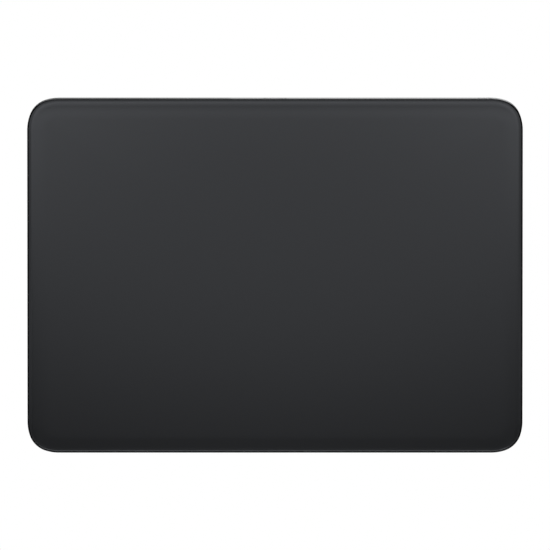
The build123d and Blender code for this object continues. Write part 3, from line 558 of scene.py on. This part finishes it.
# ================================================================ PIECES THAT BEND
def part_of(name, node, keep, cuts, slot_name):
    """A piece cut from a frame node: the faces whose middle keep(x, y, z) accepts, closed where it was cut, and cut
    again along the planes (point, normal) so that it can bend. Points in mm, row frame."""
    source = NODES[node]
    bm = bmesh.new()
    bm.from_mesh(source.data)
    bm.transform(source.matrix_world)
    bmesh.ops.remove_doubles(bm, verts=bm.verts, dist=1e-7)
    for point, normal in cuts:
        everything = bm.verts[:] + bm.edges[:] + bm.faces[:]
        bmesh.ops.bisect_plane(bm, geom=everything, dist=1e-7, plane_co=Vector(point) * MM, plane_no=Vector(normal))
    out = [f for f in bm.faces if not keep(*(f.calc_center_median() / MM))]
    bmesh.ops.delete(bm, geom=out, context="FACES")
    rims = [e for e in bm.edges if e.is_boundary]
    if rims:
        bmesh.ops.holes_fill(bm, edges=rims, sides=0)
    bmesh.ops.recalc_face_normals(bm, faces=bm.faces)
    mesh = bpy.data.meshes.new(name)
    bm.to_mesh(mesh)
    bm.free()
    mesh.materials.append(FINISH[slot_name])
    for face in mesh.polygons:
        face.use_smooth = True
        face.material_index = 0
    mesh.set_sharp_from_angle(angle=math.radians(32))
    obj = bpy.data.objects.new(name, mesh)
    bpy.context.scene.collection.objects.link(obj)
    return obj


# the four flexures: a frame screwed to the case, and a tongue that bends down as the plate is pressed
PAD_W, FLEXURE_W = -1.6, -2.2  # levels of the gel pads' and the flexures' top faces under the glass's face
FLEX_X, FLEX_V, TONGUE_ROOT, TONGUE_TIP, TONGUE_HALF = 62.5, 44.0, -9.0, 9.5, 4.5
for end, sv in (("front", -1), ("rear", 1)):
    for hand, sx in (("left", -1), ("right", 1)):
        node = f"flexure_{end}_{hand}"

        def in_tongue(x, y, z, sx=sx, sv=sv):
            v = y * COS + (z - MID_Z) * SIN
            along = sx * x - FLEX_X
            return TONGUE_ROOT < along < TONGUE_TIP + 0.01 and abs(v - sv * FLEX_V) < TONGUE_HALF + 0.01

        root = ((sx * (FLEX_X + TONGUE_ROOT), 0, 0), (1, 0, 0))
        fixed = part_of(f"{node}_frame", node, lambda x, y, z, t=in_tongue: not t(x, y, z), [root], "spring_steel")
        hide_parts(node)
        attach(fixed, "housing")
        steps = [((sx * (FLEX_X + TONGUE_ROOT + k), 0, 0), (1, 0, 0)) for k in range(1, 11)]
        tongue = part_of(f"{node}_tongue", node, in_tongue, [root] + steps, "spring_steel")
        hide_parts(node)
        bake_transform(tongue)

# the gel pads shear between the tongues and the plate
across_deck = deck(0, 0, 1) - deck(0, 0, 0)
levels = [FLEXURE_W + (PAD_W - FLEXURE_W) * k / 5 for k in range(1, 5)]
pads = part_of("gel_pads_soft", "gel_pads", lambda x, y, z: True, [(deck(0, 0, w) / MM, across_deck / MM) for w in levels], "gel")
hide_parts("gel_pads")
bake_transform(pads)

# the plate's flat circuit: one half follows the plate's shift, the other its press
FLEX_SPLIT = 41.0
plate_half = part_of(
    "plate_flex_plate_half",
    "plate_flex",
    lambda x, y, z: y < FLEX_SPLIT,
    [((0, y, 0), (0, 1, 0)) for y in (36.0, 37.0, 38.0, 39.0, 40.0, FLEX_SPLIT)],
    "flex",
)
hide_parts("plate_flex")
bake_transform(plate_half)
case_half = part_of(
    "plate_flex_case_half",
    "plate_flex",
    lambda x, y, z: y > FLEX_SPLIT,
    [((0, y, 0), (0, 1, 0)) for y in (FLEX_SPLIT, 42.0, 43.0, 44.0, 44.7)] + [((0, 0, z), (0, 0, 1)) for z in (5.6, 5.9, 6.2, 6.5)],
    "flex",
)
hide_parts("plate_flex")
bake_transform(case_half)


# ================================================================ FLOOR, WORLD AND LIGHTS
def floor():
    mesh = bpy.data.meshes.new("floor")
    s = 12.0
    mesh.from_pydata([(-s, -s, 0), (s, -s, 0), (s, s, 0), (-s, s, 0)], [], [(0, 1, 2, 3)])
    obj = bpy.data.objects.new("floor", mesh)
    bpy.context.scene.collection.objects.link(obj)
    obj.location.z = -0.00002
    mat = bpy.data.materials.new("floor_white")
    mat.use_nodes = True
    n = Nodes(mat.node_tree)
    out = n.add("ShaderNodeOutputMaterial")
    seen = n.add("ShaderNodeEmission")  # a backlit white table: pure white to the eye, with no shadow on it
    seen.inputs["Color"].default_value = (1.0, 1.0, 1.0, 1.0)
    seen.inputs["Strength"].default_value = 1.0
    # painted contact shade: the floor's dim part, used only in the ring close around the case
    dim = n.add("ShaderNodeBsdfDiffuse")
    dim.inputs["Color"].default_value = (FLOOR_DIM, FLOOR_DIM, FLOOR_DIM, 1.0)
    # a glowing strip just behind the case, dimmer at its left, that the rear wall mirrors: painted light on the floor,
    # seen by all rays but the camera's
    co = n.add("ShaderNodeTexCoord")
    axes = n.add("ShaderNodeSeparateXYZ")
    n.link(co.outputs["Object"], axes.inputs[0])
    painted_glow = n.add("ShaderNodeEmission")
    painted_glow.inputs["Color"].default_value = (1.0, 1.0, 1.0, 1.0)
    level = n.add("ShaderNodeMath", operation="MULTIPLY")
    n.link(ramp(n, axes.outputs["Y"], 0.0, 1.0, (0.0560, 0.0575)), level.inputs[0])
    across = n.add("ShaderNodeValToRGB")
    for position, value in zip(REAR_GLOW_AT, REAR_GLOW):
        element = across.color_ramp.elements.new(position) if 0 < position < 1 else across.color_ramp.elements[-int(position)]
        element.color = (value, value, value, 1.0)
    n.link(ramp(n, axes.outputs["X"], 0.0, 1.0, (-0.08, 0.08)), across.inputs["Fac"])
    n.link(across.outputs["Color"], level.inputs[1])
    n.link(level.outputs[0], painted_glow.inputs["Strength"])
    painted_shade_and_glow = n.add("ShaderNodeAddShader")
    n.link(dim.outputs[0], painted_shade_and_glow.inputs[0])
    n.link(painted_glow.outputs[0], painted_shade_and_glow.inputs[1])
    # all rays but the camera's meet a dim ring close around the case, painted contact shade for the case's walls to
    # mirror; past it, and under the case, light from below comes through
    reach = []
    for axis, half in (("X", WIDTH / 2 * MM), ("Y", DEPTH / 2 * MM)):
        size = n.add("ShaderNodeMath", operation="ABSOLUTE")
        n.link(axes.outputs[axis], size.inputs[0])
        past = n.add("ShaderNodeMath", operation="SUBTRACT")
        n.link(size.outputs[0], past.inputs[0])
        past.inputs[1].default_value = half
        reach.append(past.outputs[0])
    away_by = n.add("ShaderNodeMath", operation="MAXIMUM")
    n.link(reach[0], away_by.inputs[0])
    n.link(reach[1], away_by.inputs[1])
    ring = n.add("ShaderNodeMath", operation="MULTIPLY")
    n.link(ramp(n, away_by.outputs[0], 0.0, 1.0, (-0.004, -0.002)), ring.inputs[0])
    n.link(ramp(n, away_by.outputs[0], 1.0, 0.0, (0.003, 0.006)), ring.inputs[1])
    open_floor = n.add("ShaderNodeBsdfTransparent")
    ground = n.add("ShaderNodeMixShader")
    n.link(ring.outputs[0], ground.inputs[0])
    n.link(open_floor.outputs[0], ground.inputs[1])
    n.link(painted_shade_and_glow.outputs[0], ground.inputs[2])
    path = n.add("ShaderNodeLightPath")
    by_ray = n.add("ShaderNodeMixShader")
    n.link(path.outputs["Is Camera Ray"], by_ray.inputs[0])
    n.link(ground.outputs[0], by_ray.inputs[1])
    n.link(seen.outputs[0], by_ray.inputs[2])
    clear = n.add("ShaderNodeBsdfTransparent")
    side = n.add("ShaderNodeNewGeometry")
    one_sided = n.add("ShaderNodeMixShader")
    n.link(side.outputs["Backfacing"], one_sided.inputs[0])
    n.link(by_ray.outputs[0], one_sided.inputs[1])
    n.link(clear.outputs[0], one_sided.inputs[2])
    n.link(one_sided.outputs[0], out.inputs["Surface"])
    mat.cycles.emission_sampling = "NONE"  # the table's glow is for the eye, and lights nothing from afar
    mesh.materials.append(mat)
    return obj


def area(name, at, aim, size, power, color=(1, 1, 1)):
    data = bpy.data.lights.new(name, "AREA")
    data.shape = "RECTANGLE"
    data.size, data.size_y = size
    data.energy = power
    data.color = color
    obj = bpy.data.objects.new(name, data)
    bpy.context.scene.collection.objects.link(obj)
    at, aim = Vector(at), Vector(aim)
    obj.location = at
    obj.rotation_mode = "QUATERNION"
    obj.rotation_quaternion = (aim - at).to_track_quat("-Z", "Y")
    obj.visible_camera = False
    return obj


# FLOOR_DIM is the albedo of the floor's dim ring, painted contact shade close around the case
FLOOR_DIM = 0.10
REAR_GLOW_AT = (0.0, 0.195, 0.31, 0.36, 0.405, 0.415, 1.0)
REAR_GLOW = (0.08, 0.13, 0.20, 0.24, 0.25, 0.47, 0.50)  # brightness of the painted glowing strip, from left to right


def radiance(size, value):
    """Power of a rectangular area light, in watts, for a face of the given radiance."""
    return value * math.pi * size[0] * size[1]


floor()
world = bpy.data.worlds.new("studio")
bpy.context.scene.world = world
world.use_nodes = True
wn = Nodes(world.node_tree)
w_out = wn.add("ShaderNodeOutputWorld")
w_bg = wn.add("ShaderNodeBackground")
w_co = wn.add("ShaderNodeTexCoord")
w_sep = wn.add("ShaderNodeSeparateXYZ")
wn.link(w_co.outputs["Generated"], w_sep.inputs[0])
w_ramp = wn.add("ShaderNodeValToRGB")
for position, value in ((0.0, 0.50), (1.0, 0.01), (0.30, 0.62), (0.46, 0.55), (0.50, 0.30), (0.515, 0.05)):
    element = w_ramp.color_ramp.elements[int(position)] if position in (0.0, 1.0) else w_ramp.color_ramp.elements.new(position)
    element.color = (value, value, value * 1.015, 1.0)
wn.link(ramp(wn, w_sep.outputs["Z"], 0.0, 1.0, (-1.0, 1.0)), w_ramp.inputs["Fac"])
w_path = wn.add("ShaderNodeLightPath")
w_seen = wn.add("ShaderNodeMix", data_type="RGBA")  # a white backdrop to the eye
wn.link(w_path.outputs["Is Camera Ray"], w_seen.inputs["Factor"])
wn.link(w_ramp.outputs[0], w_seen.inputs[6])
w_seen.inputs[7].default_value = (1.0, 1.0, 1.0, 1.0)
wn.link(w_seen.outputs[2], w_bg.inputs["Color"])
w_bg.inputs["Strength"].default_value = 1.0
wn.link(w_bg.outputs[0], w_out.inputs["Surface"])


def overhead(z=0.25):
    """A wide soft box over the object, graded along its depth: the glass fades from rear to front, its sides sooner."""
    x0, x1, y0, y1 = -0.45, 0.45, -0.3, 0.6
    mesh = bpy.data.meshes.new("overhead")
    mesh.from_pydata([(x0, y0, 0), (x0, y1, 0), (x1, y1, 0), (x1, y0, 0)], [], [(0, 1, 2, 3)])
    obj = bpy.data.objects.new("overhead", mesh)
    bpy.context.scene.collection.objects.link(obj)
    obj.location.z = z
    obj.visible_camera = False
    mat = bpy.data.materials.new("overhead_light")
    mat.use_nodes = True
    n = Nodes(mat.node_tree)
    out = n.add("ShaderNodeOutputMaterial")
    glow = n.add("ShaderNodeEmission")
    co = n.add("ShaderNodeTexCoord")
    axes = n.add("ShaderNodeSeparateXYZ")
    n.link(co.outputs["Object"], axes.inputs[0])
    depth = ramp(n, axes.outputs["Y"], 0.0, 1.0, (y0, y1))
    profiles = []
    for values in (OVER_MIDDLE, OVER_SIDES):
        node = n.add("ShaderNodeValToRGB")
        for k, (y, value) in enumerate(zip(OVER_Y, values)):
            position = (y - y0) / (y1 - y0)
            if k == 0 or k == len(OVER_Y) - 1:
                element = node.color_ramp.elements[min(k, 1) if k == 0 else -1]
                element.position = position
            else:
                element = node.color_ramp.elements.new(position)
            level = value / OVER_PEAK
            element.color = (level, level, level, 1.0)
        n.link(depth, node.inputs["Fac"])
        profiles.append(node.outputs["Color"])
    off = n.add("ShaderNodeMath", operation="ABSOLUTE")
    n.link(axes.outputs["X"], off.inputs[0])
    square = n.add("ShaderNodeMath", operation="POWER")
    n.link(ramp(n, off.outputs[0], 0.0, 1.0, (0.0, 0.16)), square.inputs[0])
    square.inputs[1].default_value = 2.0
    mix = n.add("ShaderNodeMix", data_type="RGBA")
    n.link(square.outputs[0], mix.inputs["Factor"])
    n.link(profiles[0], mix.inputs[6])
    n.link(profiles[1], mix.inputs[7])
    n.link(mix.outputs[2], glow.inputs["Color"])
    fall = n.add("ShaderNodeValToRGB")  # the box is dimmer beyond the object's sides
    for position, value in ((0.0, 1.0), (1.0, 0.05), (0.2, 1.0), (0.333, 0.45), (0.5, 0.15)):
        element = fall.color_ramp.elements[int(position)] if position in (0.0, 1.0) else fall.color_ramp.elements.new(position)
        element.color = (value, value, value, 1.0)
    n.link(ramp(n, off.outputs[0], 0.0, 1.0, (0.0, 0.6)), fall.inputs["Fac"])
    power = n.add("ShaderNodeMath", operation="MULTIPLY")
    n.link(fall.outputs["Color"], power.inputs[0])
    power.inputs[1].default_value = OVER_PEAK * OVER_GAIN
    n.link(power.outputs[0], glow.inputs["Strength"])
    side = n.add("ShaderNodeNewGeometry")
    clear = n.add("ShaderNodeBsdfTransparent")
    down = n.add("ShaderNodeMixShader")
    n.link(side.outputs["Backfacing"], down.inputs[0])
    n.link(glow.outputs[0], down.inputs[1])
    n.link(clear.outputs[0], down.inputs[2])
    n.link(down.outputs[0], out.inputs["Surface"])
    mat.cycles.emission_sampling = "FRONT"
    mesh.materials.append(mat)
    return obj


OVER_Y = (-0.3, -0.2, -0.14, -0.1, -0.06, -0.02, 0.02, 0.06, 0.12, 0.25, 0.6)
OVER_MIDDLE = (0.0, 0.0, 0.0, 0.35, 1.13, 1.05, 0.65, 2.58, 0.8, 0.5, 0.2)
OVER_SIDES = (0.0, 0.0, 0.0, 0.0, 0.0, 1.19, 3.56, 2.9, 0.8, 0.5, 0.2)
OVER_PEAK, OVER_GAIN = 4.0, 1.05
overhead()
# a low strip in front draws the light line along the front edge; soft lights at the sides for the case
area("front", (0.0, -0.245, 0.20), (0.0, -0.057, 0.0), (0.32, 0.035), radiance((0.32, 0.035), 4.9))
for name, x in (("left", -0.22), ("right", 0.22)):
    area(name, (x, -0.06, 0.21), (x * 0.36, -0.06, 0.0), (0.035, 0.40), radiance((0.035, 0.40), 1.3))
for name, side in (("front_left", -1), ("front_right", 1)):  # carry the light line around the front corners
    area(name, (side * 0.162, -0.165, 0.20), (side * 0.075, -0.053, 0.0), (0.12, 0.035), radiance((0.12, 0.035), 1.7))
area("back", (0.0, 0.75, 0.26), (0.0, 0.06, 0.0), (1.4, 0.30), radiance((1.4, 0.30), 1.4))

scene = bpy.context.scene
scene.view_settings.view_transform = "Standard"
scene.view_settings.look = "None"
scene.view_settings.exposure = 0.0
scene.view_settings.gamma = 1.0
